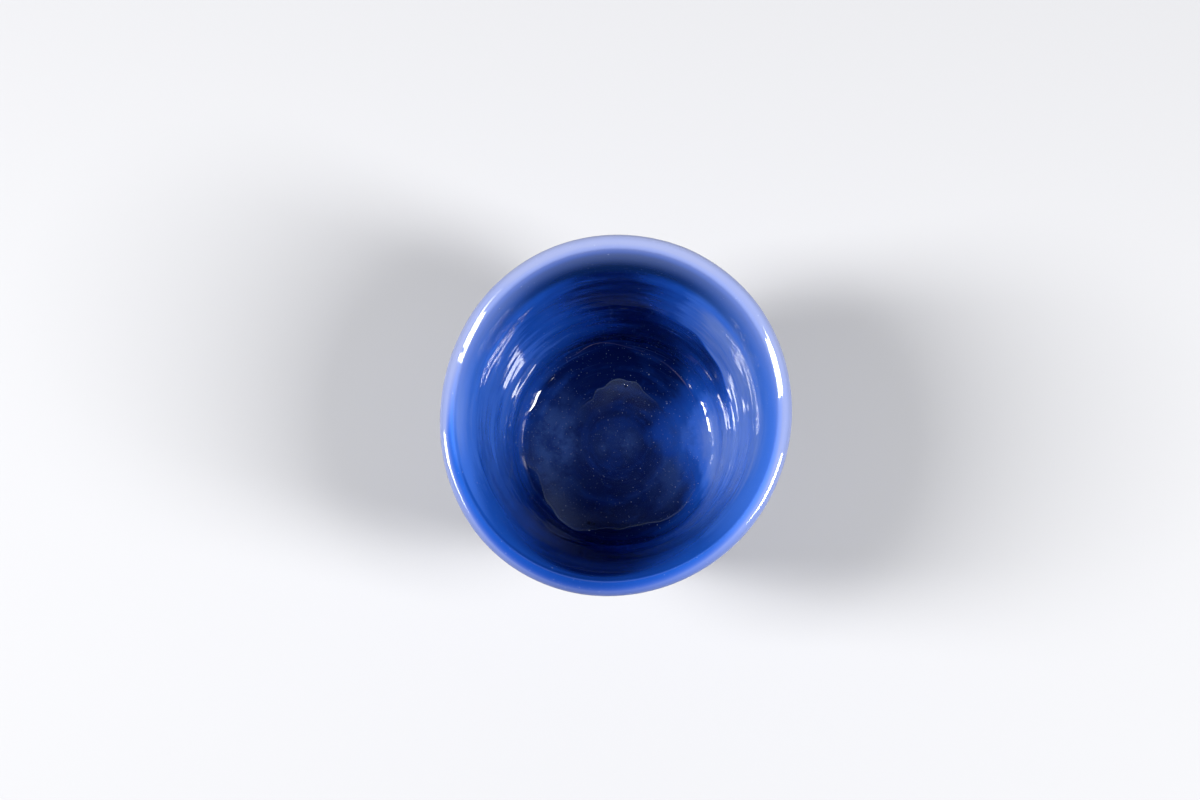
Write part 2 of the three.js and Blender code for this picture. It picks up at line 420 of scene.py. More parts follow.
# %% Liner relief
RING_PITCH = 5.8
WALL_RING_DEPTH = 0.01
FLOOR_RING_DEPTH = 0.035
RUN_HEIGHT = 0.025
LUMP_HEIGHT = 0.07
SMALL_LUMP_HEIGHT = 0.015
DENT_DEPTH = 0.05
NUB_HEIGHT = 0.12
NUB_RADIUS = 3.0


def ring_wave(along):
    """The finger spiral, 1 on its crests and -1 in its grooves: a cosine along the outline whose phase turns
    once with the bearing and wanders a little."""
    wander = 0.9 * ripples(3, along, (1, 3), (40, 90), 6)
    return np.cos(2 * math.pi * along / RING_PITCH - bearings + wander)


def liner_relief(along):
    """Rings, runs, lumps, dents in the corner and a nub in the middle, in millimetres off the even coat."""
    even = inside.lifted(along, GLAZE)
    depth = WALL_RING_DEPTH * rising(along, 12, 34)
    depth = depth + FLOOR_RING_DEPTH * rising(along, to_floor - 6, to_floor + 4)
    swell = 1 + 0.35 * ripples(4, along, (1, 4), (14, 40), 8)
    rings = depth * swell * ring_wave(along)
    runs = RUN_HEIGHT * rising(along, 14, 30) * rising(to_floor + 4 - along, 0, 16)
    runs = runs * ripples(5, along, (7, 22), (30, 90), 24)
    broad = LUMP_HEIGHT * rising(along, 8, 24) * lumps(56, even[0], even[1], (13, 36), 40)
    small = SMALL_LUMP_HEIGHT * rising(along, 16, 30) * rising(to_floor - along, 0, 10)
    small = small * lumps(58, even[0], even[1], (6, 14), 40)
    corner = np.exp(-(((along - to_floor + 3.5) / 6.0) ** 2))
    dents = DENT_DEPTH * (0.25 + 0.75 * np.cos(bearings) ** 2) * corner
    dents = dents * lumps(7, even[0], even[1], (3.5, 8), 40)
    across = inside.length - along
    nub = NUB_HEIGHT * np.exp(-((across / NUB_RADIUS) ** 2))
    return rings * rising(across, 0.0, 7.0) + runs + (broad + small) + dents + nub


# %% Liner coat
LINER_POLE = 0.25
liner_along = graded(inside.length - LINER_POLE, 0.08, 0.52)


def liner_looks(inward):
    """The numbers that the liner's finish reads."""
    floor_at = to_floor + lip_half
    on_floor = rising(inward, to_floor - 8, to_floor + 8)
    off_middle = rising(inside.length + lip_half - inward, 4.0, 11.0)
    # thin, slate and thick carry painted light and shade as well as the coat.
    looks = {"along": inward, "thin": thin_glaze_and_painted_light(inward), "slate": slate_band(inward)}
    looks["thick"] = thickness_and_painted_shade(inward, floor_at)
    looks["haze_and_sheen"] = floor_haze_and_sheen(inward, floor_at)
    looks["rings"] = ring_wave(inward - lip_half) * on_floor * off_middle
    # A painted glint: a thin pale reflection line along the corner.
    looks["painted_glint"] = inward - floor_at - painted_glint_course()
    looks["painted_glint_shows"] = bells(PAINTED_GLINT_SHOWS)
    return looks


def liner_coat():
    """The glossy face from the lip to the middle of the floor, and a plain back next to the clay."""
    back_along = np.linspace(inside.length - LINER_POLE, 0.0, 24)[:, None]
    back = inside.lifted(back_along, BOND_GAP)
    face = inside.lifted(liner_along, GLAZE + liner_relief(liner_along))
    radius, height = stacked(back[0], face[0]), stacked(back[1], face[1])
    inward = np.vstack([back_along, liner_along]) + lip_half
    poles = (clay_floor + BOND_GAP, face[1][-1].mean())
    return turned_piece("liner_coat", radius * out_of_round(height), height, poles, **liner_looks(inward))


liner = liner_coat()

# %% [markdown]
# ## The lip
# The glaze runs thin over the lip, so it is a smooth round, a little flatter on its inner side. Slow swells
# bend the long highlights, as on any edge shaped with wet leather, and two beads of glaze break them.

# %% Lip coat
LIP_ROWS = 56
LIP_SWELL = 0.05
LIP_FLATTENED = 0.2
FLATTENED_INWARD = 2.3
LIP_BEADS = [(0.06, 158.5, 1.4), (0.06, 346, 1.4)]
FLOOR_FAR_OFF = 200.0


def lip_coat():
    """A half round of glaze. Its flatter side, swells and beads vanish where the other coats begin."""
    face_along = np.linspace(0.0, lip.length, LIP_ROWS)[:, None]
    back_along = face_along[::-4]
    held = np.sin(math.pi * face_along / lip.length) ** 2
    flattened = LIP_FLATTENED * np.sin(math.pi * (face_along / lip.length) ** FLATTENED_INWARD) ** 4
    swells = LIP_SWELL * ripples(11, face_along, (3, 16), (20, 60), 14)
    face = lip.lifted(face_along, GLAZE + (held * (swells + bells(LIP_BEADS)) - flattened))
    back = lip.lifted(back_along, BOND_GAP)
    radius, height = stacked(face[0], back[0]), stacked(face[1], back[1])
    inward = np.vstack([face_along, back_along]) - lip_half
    # The same painted light and shade as on the liner.
    looks = {"along": np.abs(inward), "thin": thin_glaze_and_painted_light(inward), "slate": slate_band(inward)}
    looks["thick"] = thickness_and_painted_shade(inward, FLOOR_FAR_OFF)
    return turned_piece("lip_coat", radius * out_of_round(height), height, None, **looks)


lip_piece = lip_coat()

# %% [markdown]
# ## The outer glaze
# The photo hides the outside, so it follows what such a cup has: throwing rings, slow runs that thicken on
# their way down, and a rolled edge where the glaze stopped above the bare foot. That edge wanders a little.

# %% Outer coat
OUTER_RING_PITCH = 7.4
OUTER_RING_DEPTH = 0.11
OUTER_LUMP_HEIGHT = 0.035
OUTER_RUN_HEIGHT = 0.07
OUTER_EVENNESS = 0.75
ROLL_HEIGHT = 0.3
GLAZE_AT_LINE = 0.15


def rolled_edge(past):
    """A low bead a little past the glaze line, and a thinner coat at the line itself."""
    bead = ROLL_HEIGHT * np.exp(-(((past - 1.3) / 0.9) ** 2))
    return bead - (GLAZE - GLAZE_AT_LINE) * np.exp(-((past / 0.35) ** 2))


def outer_coat():
    """The outside face from a wandering glaze line up to the lip, with rings, runs and a rolled edge."""
    rows = outside.length - graded(outside.length, 0.08, 0.5)[::-1]
    rows = rows - rows[0]
    start = np.clip(0.55 + 0.35 * ripples(21, one_round, (2, 9), (1, 2), 8), 0.02, 1.6)
    along = start + rows * (outside.length - start) / outside.length
    past, left = along - start, outside.length - along
    even = outside.lifted(along, GLAZE)
    depth = OUTER_RING_DEPTH * rising(past, 6, 20) * rising(left, 6, 22)
    wander = 0.8 * ripples(22, along, (1, 3), (40, 90), 6)
    rings = depth * np.cos(2 * math.pi * left / OUTER_RING_PITCH + bearings + wander)
    bumps = OUTER_LUMP_HEIGHT * rising(left, 4, 16) * lumps(23, even[0], even[1], (7, 20), 40)
    runs = OUTER_RUN_HEIGHT * rising(left, 20, 60) * ripples(24, along, (8, 30), (70, 160), 18)
    face = outside.lifted(along, GLAZE + rings + bumps + runs + rolled_edge(past))
    back_along = np.maximum(np.linspace(outside.length, 0.0, 18)[:, None], start)
    back = outside.lifted(back_along, BOND_GAP)
    radius, height = stacked(face[0], back[0]), stacked(face[1], back[1])
    crest = np.vstack([left, outside.length - back_along]) + lip_half
    looks = {"along": crest, "thin": thin_glaze_and_painted_light(-crest)}
    # A quarter of the painted light and shade of the inside wall shows here too.
    looks["thick"] = thickness_and_painted_shade(crest, FLOOR_FAR_OFF, OUTER_EVENNESS)
    return turned_piece("outer_coat", radius * out_of_round(height), height, None, **looks)


outer = outer_coat()

# %% [markdown]
# ## The clay
# Bare clay shows only at the foot, where the potter's turning tool left fine grooves. The rest of the body
# lies under the glaze, so its rows there are few. The grooves are a cosine along the outline whose depth
# wanders round the foot.

# %% Clay body
POLE = 0.3
GROOVE_PITCH = 0.85
GROOVE_DEPTH = 0.022
recess_bend = recess_radius - RECESS_CORNER_RADIUS
recess_wall_top = RECESS_DEPTH - RECESS_CORNER_RADIUS
ring_inner, ring_outer = recess_radius + FOOT_EDGE_CHAMFER, foot_radius - FOOT_EDGE_CHAMFER

underside_curves = [
    line(spot(POLE, RECESS_DEPTH), spot(recess_bend, RECESS_DEPTH)),
    arc(spot(recess_bend, recess_wall_top), RECESS_CORNER_RADIUS, math.pi / 2, 0.0),
    line(spot(recess_radius, recess_wall_top), spot(recess_radius, FOOT_EDGE_CHAMFER)),
    arc(spot(ring_inner, FOOT_EDGE_CHAMFER), FOOT_EDGE_CHAMFER, math.pi, 1.5 * math.pi),
    line(spot(ring_inner, 0), spot(ring_outer, 0)),
    arc(spot(ring_outer, FOOT_EDGE_CHAMFER), FOOT_EDGE_CHAMFER, -math.pi / 2, 0.0),
    line(spot(foot_radius, FOOT_EDGE_CHAMFER), foot_top),
]


def clay_body():
    """The foot in fine rows with turning grooves, then the glazed outline in a few plain rows."""
    foot = Stretch(underside_curves)
    foot_along = np.linspace(0.0, foot.length, 176)[:, None]
    wander = ripples(31, foot_along, (1, 4), (9, 30), 6)
    grooves = np.cos(2 * math.pi * foot_along / GROOVE_PITCH + wander)
    bite = GROOVE_DEPTH * (1 + 0.5 * ripples(32, foot_along, (2, 9), (6, 20), 10))
    flat = foot.lifted(foot_along, 0.0)[1] < 1e-6
    bare = foot.lifted(foot_along, np.where(flat, 0.0, grooves * bite))
    covered = Stretch(outside_curves + lip_curves + inside_curves)
    heel_along = np.linspace(0.25, 4.0, 12)[:, None]
    far_along = np.linspace(5.0, covered.length - POLE, 64)[:, None]
    covered_along = np.vstack([heel_along, far_along])
    under = covered.lifted(covered_along, 0.0)
    radius, height = stacked(bare[0], under[0]), stacked(np.maximum(bare[1], 0.0), under[1])
    return turned_piece("clay_cup", radius * out_of_round(height), height, (RECESS_DEPTH, clay_floor))


clay = clay_body()

# %% [markdown]
# ## The base glaze
# Inside the foot ring the potter brushed a disc of the same glaze. It rounds up at its edge, where the wet
# glaze drew back to a border.

# %% Base coat
BASE_RING_PITCH = 2.6
BASE_RING_DEPTH = 0.05
BASE_BORDER = 1.1
BASE_THICK = 0.8


def base_coat():
    """A disc that faces down, with faint turning rings and a rounded border."""
    middle, upper = RECESS_DEPTH - GLAZE, RECESS_DEPTH - BOND_GAP
    across = np.linspace(POLE, recess_bend, 64)[:, None]
    back_across = np.linspace(recess_bend, POLE, 6)[:, None]
    wander = 1 + 0.006 * ripples(41, one_round, (3, 12), (1, 2), 10)
    rings = BASE_RING_DEPTH * np.cos(2 * math.pi * across / BASE_RING_PITCH + bearings)
    rings = rings * rising(across, 1.0, 5.0) * rising(recess_bend - across, 0.5, 3.0)
    border = (GLAZE - BOND_GAP) * rising(across, recess_bend - BASE_BORDER, recess_bend)
    lower = middle + rings + border * 0.9
    radius = np.vstack([across, back_across]) * wander
    height = stacked(lower, np.full(back_across.shape, upper))
    looks = {"along": np.vstack([across, back_across]), "thin": one_round, "thick": one_round + BASE_THICK}
    return turned_piece("base_coat", radius, height, (middle, upper), **looks)


base = base_coat()

# %% [markdown]
# ## The pool
# Clear glaze ran to the floor and set there, with a lobed edge like spilled water. Its edge is a few bearings
# with a reach each, read off the photo, and eased steps between them. Its underside follows the rings
# of the floor, its top is nearly level, and its edge rounds over where surface tension held it. In three
# places a bubble popped and left a pit with a low rim.

# %% Edge and pits of the pool
POOL_EDGE = [(0, 18.0), (22, 16.2), (42, 14.6), (60, 15.3), (76, 17.0), (92, 16.9), (106, 15.4), (122, 13.6),
             (145, 13.4), (160, 19.0), (173, 26.2), (187, 26.6), (203, 22.9), (220, 24.6), (240, 26.3),
             (265, 23.3), (287, 23.1), (308, 24.9), (328, 24.3), (345, 19.5)]
POPPED_BUBBLES = [(2.2, 15.0, 0.6), (-7.6, -21.6, 0.7), (-6.2, -21.9, 0.5)]
BUBBLE_RELIEF = 0.1
floor_run = np.linspace(inside.length, to_floor - 14.0, 300)
floor_run_radius = inside.lifted(floor_run, GLAZE)[0]


def pool_reach():
    """How far the pool goes at each bearing: between the bearings read off, an eased step."""
    marks = np.array([mark for mark, _ in POOL_EDGE] + [360.0])
    reach = np.array([value for _, value in POOL_EDGE] + [POOL_EDGE[0][1]])
    degrees = np.degrees(bearings[0])
    before = np.searchsorted(marks, degrees, side="right") - 1
    way = rising(degrees, marks[before], marks[before + 1])
    steps = reach[before] + (reach[before + 1] - reach[before]) * way
    return steps[None, :] + 0.12 * ripples(51, one_round, (9, 31), (1, 2), 10)


def popped_bubbles(across):
    """The relief of the popped bubbles, a low rim round a dip, and a mask that is 1 in the dips."""
    relief, dips = np.zeros(across.shape), np.zeros(across.shape)
    for x, y, width in POPPED_BUBBLES:
        apart = np.hypot(across * np.cos(bearings) - x, across * np.sin(bearings) - y) / width
        relief += BUBBLE_RELIEF * (np.exp(-((apart - 1.0) ** 2) * 6.0) - np.exp(-(apart**2) * 3.0))
        dips += np.exp(-(apart**2) * 2.0)
    return relief, dips


# %% Pool
POOL_ROWS = 80
POOL_CLEARANCE = 0.03
POOL_FULL = 0.75
POOL_ROUNDING = 1.6
TOP_LOBE, LOW_LOBE = (0.8, 92, 34), (1.0, 236, 34)
LOW_LINE = (1.0, 262, 50)
CLEAR_MILK = 0.06


def clear_pool():
    """Rows go out along the underside, over the rounded edge and back across the top. The top is level,
    and where the floor turns up into the wall the pool is a thin film on it."""
    reach = pool_reach()
    out = np.linspace(0.02, 1.0, POOL_ROWS)[:, None]
    back = out[::-1][1:]
    along = np.interp(out * reach, floor_run_radius, floor_run)
    place = inside.lifted(along, GLAZE + liner_relief(along) + POOL_CLEARANCE)
    across, under = (grid[::-1][1:] for grid in place)
    level = clay_floor + GLAZE + BOND_GAP + POOL_DEPTH * POOL_FULL
    level = level + 0.01 * lumps(52, back * reach, 0.0, (6, 20), 12)
    ended = np.sqrt(np.clip(1 - rising(back * reach, reach - POOL_ROUNDING, reach + 0.02) ** 2, 0.0, 1.0))
    film = 0.02 + 0.22 * ended
    relief, dips = popped_bubbles(across)
    above = np.maximum(under + film, under + (level - under) * ended) + relief * ended
    radius, height = stacked(place[0], across), stacked(place[1], above)
    looks = {"edge": np.vstack([out * reach, back * reach]) - reach}
    looks["milk"] = CLEAR_MILK + bells([TOP_LOBE, LOW_LOBE])
    looks["line"] = CLEAR_MILK + bells([TOP_LOBE, LOW_LINE])
    # The pits' mask, where the finish paints shade.
    looks["pit_shade"] = np.vstack([np.zeros(place[0].shape), dips])
    poles = (place[1][0].mean(), above[-1].mean())
    return turned_piece("pool", radius * out_of_round(height), height, poles, **looks)


pool = clear_pool()

# %% [markdown]
# ## Finishes
# Each finish is a node tree. A few helpers keep the trees short: one makes a node with its values set,
# others do a sum, a mix or a change of span. Effects that finishes share are node groups.

# %% Node helpers
def add(tree, kind, values=None, **settings):
    """A node with settings and inputs. An input's value is a socket to link to it, a number or a colour."""
    node = tree.nodes.new(kind)
    for name, value in settings.items():
        setattr(node, name, value)
    for name, value in (values or {}).items():
        if isinstance(value, bpy.types.NodeSocket):
            tree.links.new(value, node.inputs[name])
        else:
            node.inputs[name].default_value = value
    return node


def math_node(tree, operation, first, second, clamp=False):
    """One sum. Each side is a number or a socket."""
    sides = {0: first, 1: second}
    return add(tree, "ShaderNodeMath", sides, operation=operation, use_clamp=clamp).outputs[0]


def product(tree, first, second):
    """Two numbers or sockets multiplied."""
    return math_node(tree, "MULTIPLY", first, second)


def mix_colour(tree, factor, first, second):
    """Two colours mixed by a factor. Each is a colour or a socket."""
    sides = {0: factor, 6: first, 7: second}
    return add(tree, "ShaderNodeMix", sides, data_type="RGBA").outputs[2]


def remap(tree, value, low, high, to_low=0.0, to_high=1.0):
    """A value's span from low to high, eased and mapped to another span."""
    spans = {"Value": value, "From Min": low, "From Max": high, "To Min": to_low, "To Max": to_high}
    return add(tree, "ShaderNodeMapRange", spans, interpolation_type="SMOOTHSTEP").outputs["Result"]


def attribute(tree, name):
    """A number that the mesh carries at each point."""
    return add(tree, "ShaderNodeAttribute", attribute_name=name).outputs["Fac"]


def object_place(tree):
    """The place on the piece, in its own space."""
    return add(tree, "ShaderNodeTexCoord").outputs["Object"]


def clouds(tree, scale, detail, roughness=0.5):
    """Soft blotches without a direction."""
    values = {"Vector": object_place(tree), "Scale": scale, "Detail": detail, "Roughness": roughness}
    return add(tree, "ShaderNodeTexNoise", values).outputs["Fac"]


def new_group(name, inputs, output):
    """An empty node group with named number sockets."""
    group = bpy.data.node_groups.new(name, "ShaderNodeTree")
    for label in inputs:
        group.interface.new_socket(label, in_out="INPUT", socket_type="NodeSocketFloat")
    group.interface.new_socket(output, in_out="OUTPUT", socket_type="NodeSocketFloat")
    return group, group.nodes.new("NodeGroupInput"), group.nodes.new("NodeGroupOutput")


def group_output(tree, group, values):
    """What a node group puts out for these values."""
    return add(tree, "ShaderNodeGroup", values, node_tree=group).outputs[0]


def new_finish(name):
    """A material, its node tree and the shader in it."""
    material = bpy.data.materials.new(name)
    material.use_nodes = True
    print("finish:", name)
    return material, material.node_tree, material.node_tree.nodes["Principled BSDF"]


# %% Brushed streaks
def streak_group():
    """Noise stretched round the cup: slow in the two flat directions, quick along the outline."""
    inputs = ["Along", "Round", "Across", "Seed", "Detail"]
    group, given, put = new_group("brushed streaks", inputs, "Streak")
    split = add(group, "ShaderNodeSeparateXYZ", {0: object_place(group)})
    parts = []
    for axis in ("X", "Y"):
        in_mm = product(group, split.outputs[axis], 1 / MM)
        parts.append(product(group, in_mm, given.outputs["Round"]))
    parts.append(product(group, given.outputs["Along"], given.outputs["Across"]))
    joined = add(group, "ShaderNodeCombineXYZ", dict(enumerate(parts)))
    values = {"Vector": joined.outputs[0], "W": given.outputs["Seed"], "Detail": given.outputs["Detail"]}
    values.update({"Scale": 1.0, "Roughness": 0.6})
    noise = add(group, "ShaderNodeTexNoise", values, noise_dimensions="4D")
    group.links.new(noise.outputs["Fac"], put.inputs["Streak"])
    return group


def streak(tree, along, seed, wrap, across, detail):
    """Streaks. Wrap and across say how quickly they change round the cup and along the outline."""
    values = {"Along": along, "Round": wrap, "Across": across, "Seed": seed, "Detail": detail}
    return group_output(tree, streaks, values)


# %% Pinholes and specks
SMALLEST_DOT = 0.02


def speck_group():
    """A dot in some cells of a cell pattern: a cell's own random number says whether it has one."""
    group, given, put = new_group("pinholes and specks", ["Spacing", "Size", "Share"], "Dot")
    scale = math_node(group, "DIVIDE", 1 / MM, given.outputs["Spacing"])
    values = {"Vector": object_place(group), "Scale": scale}
    cells = add(group, "ShaderNodeTexVoronoi", values, feature="F1")
    split = add(group, "ShaderNodeSeparateColor", {0: cells.outputs["Color"]})
    chosen = math_node(group, "LESS_THAN", split.outputs[0], given.outputs["Share"])
    away = product(group, cells.outputs["Distance"], given.outputs["Spacing"])
    size = product(group, given.outputs["Size"], split.outputs[1])
    close = math_node(group, "DIVIDE", away, math_node(group, "MAXIMUM", size, SMALLEST_DOT))
    dot = math_node(group, "SUBTRACT", 1.0, close, clamp=True)
    group.links.new(product(group, dot, chosen), put.inputs["Dot"])
    return group


def dots_of(tree, spacing, size, chosen):
    """Dots of up to a size, a spacing apart, both in millimetres, in a chosen share of the cells."""
    return group_output(tree, specks, {"Spacing": spacing, "Size": size, "Share": chosen})


streaks, specks = streak_group(), speck_group()
print("node groups:", streaks.name, "and", specks.name)

# %% [markdown]
# ## Blue glaze
# Cobalt glaze is coloured glass: pale where it is thin, royal blue where it is fuller, navy where it lies
# thick. So the colour follows the numbers that each surface carries, and with them painted light on the
# left and right and painted shade at the back and front. Brushed streaks make the coat a little thinner or
# thicker, and on the floor so do smudges and the spiral's grooves. The haze with its painted sheen, a painted
# glint line, a painted grey reflection band and the pale lip, with its painted light, are laid over that, and
# specks and dust last.

# %% Colours of the blue glaze
PALE = (0.20, 0.232, 0.39, 1)
MIST = (0.14, 0.235, 0.58, 1)
AZURE = (0.04, 0.14, 0.56, 1)
ROYAL = (0.009, 0.068, 0.36, 1)
DEEP = (0.006, 0.046, 0.27, 1)
NAVY = (0.0005, 0.006, 0.06, 1)
# Slate and dusk paint a grey reflection and shade under the lip at the back.
SLATE = (0.036, 0.065, 0.18, 1)
DUSK = (0.002, 0.014, 0.07, 1)
# The haze colour also paints sheen on the floor.
HAZE_AND_SHEEN = (0.034, 0.08, 0.25, 1)
# The glint colour paints a thin reflection line in the corner.
PAINTED_GLINT = (0.22, 0.18, 0.27, 1)
STROKE = (0.12, 0.20, 0.55, 1)
SPECK = (0.42, 0.47, 0.58, 1)
DEPTH_COLOURS = [(-0.6, -0.15, AZURE), (-0.15, 0.2, ROYAL), (0.2, 0.65, DEEP), (0.55, 1.05, NAVY)]


# %% Blue glaze
def streak_swing(tree, along, broad, fine, smudge):
    """How far the streaks push the thickness up or down. On the floor smudges take over in part."""
    brushed = math_node(tree, "ADD", product(tree, fine, 0.55), product(tree, broad, 0.45))
    smudged = remap(tree, along, 70.0, 92.0, 0.1, 0.45)
    brushed = product(tree, brushed, math_node(tree, "SUBTRACT", 1.0, smudged))
    brushed = math_node(tree, "ADD", brushed, product(tree, smudge, smudged))
    return remap(tree, brushed, 0.34, 0.66, -0.2, 0.2)


def depth_colour(tree, along, swing, smudge):
    """The colour for how thick the coat is, with its painted light and shade, its streaks and the floor's
    grooves.
    """
    swing = product(tree, swing, remap(tree, along, 4.0, 16.0))
    depth = math_node(tree, "ADD", attribute(tree, "thick"), swing)
    furrow = product(tree, attribute(tree, "rings"), remap(tree, smudge, 0.4, 0.6, 0.0, 0.14))
    depth = math_node(tree, "SUBTRACT", depth, furrow)
    body = MIST
    for low, high, colour in DEPTH_COLOURS:
        body = mix_colour(tree, remap(tree, depth, low, high), body, colour)
    return body


def overlaid(tree, body, along, hair, smudge):
    """Hair strokes, the haze with its painted sheen, a painted glint line and a painted grey reflection band,
    each laid over what came before.
    """
    stroke = product(tree, remap(tree, hair, 0.55, 0.78, 0.0, 0.28), remap(tree, along, 8.0, 24.0))
    stroke = product(tree, stroke, remap(tree, along, 66.0, 82.0, 1.0, 0.25))
    body = mix_colour(tree, stroke, body, STROKE)
    # The grey haze of the floor's middle, and the painted sheen beside it on the left and right.
    haze_and_sheen_amount = product(tree, attribute(tree, "haze_and_sheen"), remap(tree, smudge, 0.36, 0.6, 0.2, 1.0))
    body = mix_colour(tree, haze_and_sheen_amount, body, HAZE_AND_SHEEN)
    # A painted glint: a thin pale reflection line along the corner.
    off_painted_glint = math_node(tree, "ABSOLUTE", attribute(tree, "painted_glint"), 0.0)
    painted_glint = product(tree, remap(tree, off_painted_glint, 0.03, 0.34, 0.55, 0.0), attribute(tree, "painted_glint_shows"))
    painted_glint = product(tree, painted_glint, remap(tree, smudge, 0.38, 0.58, 0.1, 1.0))
    body = mix_colour(tree, painted_glint, body, PAINTED_GLINT)
    # Painted grey reflection under the lip at the back, darkening to painted shade lower down.
    grey_reflection_band = mix_colour(tree, remap(tree, along, 4.5, 10.0), SLATE, DUSK)
    return mix_colour(tree, attribute(tree, "slate"), body, grey_reflection_band)


def relief_normal(tree, along, fine, hair, pimples):
    """Two fine bumps, one from the streaks and one from the specks and pinholes."""
    height = math_node(tree, "ADD", product(tree, hair, 0.3), fine)
    height = product(tree, height, remap(tree, along, 6.0, 20.0))
    strokes = add(tree, "ShaderNodeBump", {"Strength": 0.03, "Distance": 0.1 * MM, "Height": height})
    values = {"Strength": 0.35, "Distance": 0.06 * MM, "Height": pimples, "Normal": strokes.outputs[0]}
    return add(tree, "ShaderNodeBump", values).outputs[0]


def blue_glaze(name, seed):
    """Glossy blue: the mesh says where the coat is thin and thick and where light and shade are painted, and
    streaks and specks vary it.
    """
    material, tree, shader = new_finish(name)
    along, thin = attribute(tree, "along"), attribute(tree, "thin")
    broad = streak(tree, along, seed, wrap=0.05, across=0.10, detail=3.0)
    fine = streak(tree, along, seed + 3, wrap=0.05, across=0.28, detail=4.0)
    hair = streak(tree, along, seed + 7, wrap=0.06, across=2.6, detail=3.0)
    smudge = clouds(tree, 120.0, 6.0, 0.66)
    swing = streak_swing(tree, along, broad, fine, smudge)
    colour = depth_colour(tree, along, swing, smudge)
    colour = overlaid(tree, colour, along, hair, smudge)
    pale = math_node(tree, "ADD", thin, product(tree, swing, product(tree, thin, 0.5)), clamp=True)
    colour = mix_colour(tree, pale, colour, PALE)
    pinholes = product(tree, dots_of(tree, 1.0, 0.16, 0.7), remap(tree, along, 24.0, 70.0, 0.3, 0.9))
    motes = dots_of(tree, 2.6, 0.3, 0.4)
    dust = product(tree, dots_of(tree, 0.55, 0.16, 0.6), remap(tree, along, 24.0, 60.0, 0.1, 0.42))
    dotted = math_node(tree, "ADD", pinholes, product(tree, motes, 0.55), clamp=True)
    colour = mix_colour(tree, math_node(tree, "MAXIMUM", dotted, dust), colour, SPECK)
    pimples = math_node(tree, "SUBTRACT", motes, pinholes)
    tree.links.new(colour, shader.inputs["Base Color"])
    tree.links.new(remap(tree, fine, 0.3, 0.7, 0.025, 0.06), shader.inputs["Roughness"])
    tree.links.new(relief_normal(tree, along, fine, hair, pimples), shader.inputs["Normal"])
    shader.inputs["IOR"].default_value = 1.58
    return material


liner_finish = blue_glaze("blue liner glaze", 1.0)
outer_finish = blue_glaze("blue outer glaze", 20.0)
base_finish = blue_glaze("blue base glaze", 40.0)

# %% [markdown]
# ## Bare clay
# Stoneware clay fires to a warm buff. It is matt, with a fine tooth, some dark iron specks, and a slightly
# darker flush near the glaze. The turning grooves are in the mesh, so the finish adds only grain.

# %% Bare clay
DARK_BUFF = (0.50, 0.42, 0.31, 1)
LIGHT_BUFF = (0.62, 0.54, 0.42, 1)
GRAIN = (0.36, 0.28, 0.19, 1)
FLUSH = (0.42, 0.27, 0.15, 1)
IRON = (0.09, 0.055, 0.03, 1)


def bare_clay():
    """Matt buff clay with slow patches, grain, a flush near the glaze and iron specks."""
    material, tree, shader = new_finish("bare clay")
    patches, grain = clouds(tree, 90.0, 4.0), clouds(tree, 2600.0, 3.0)
    colour = mix_colour(tree, remap(tree, patches, 0.35, 0.65), DARK_BUFF, LIGHT_BUFF)
    colour = mix_colour(tree, remap(tree, grain, 0.5, 0.8, 0.0, 0.4), colour, GRAIN)
    split = add(tree, "ShaderNodeSeparateXYZ", {0: object_place(tree)})
    flush = remap(tree, split.outputs["Z"], 3.5 * MM, 7.0 * MM, 0.0, 0.55)
    flush = product(tree, flush, remap(tree, patches, 0.3, 0.7, 0.3, 1.0))
    colour = mix_colour(tree, flush, colour, FLUSH)
    colour = mix_colour(tree, dots_of(tree, 1.6, 0.4, 0.18), colour, IRON)
    tree.links.new(colour, shader.inputs["Base Color"])
    tree.links.new(remap(tree, grain, 0.3, 0.7, 0.72, 0.92), shader.inputs["Roughness"])
    tooth = add(tree, "ShaderNodeBump", {"Strength": 0.5, "Distance": 0.06 * MM, "Height": grain})
    tree.links.new(tooth.outputs[0], shader.inputs["Normal"])
    return material


clay_finish = bare_clay()

# %% [markdown]
# ## Clear glaze
# The pool is clear glass over blue, a little milky. It is made as a see-through gloss: its alpha lets the
# floor show, rises near the edge where the glass is cloudy, and drifts with slow clouds. A thin line follows
# the edge, specks float in it, and painted shade makes the pits of the popped bubbles dark.

# %% Clear glaze
THIN_MILK = (0.11, 0.16, 0.28, 1)
FULL_MILK = (0.22, 0.29, 0.44, 1)
# Painted shade in the pits of the popped bubbles.
PAINTED_PIT_SHADE = (0.001, 0.003, 0.014, 1)


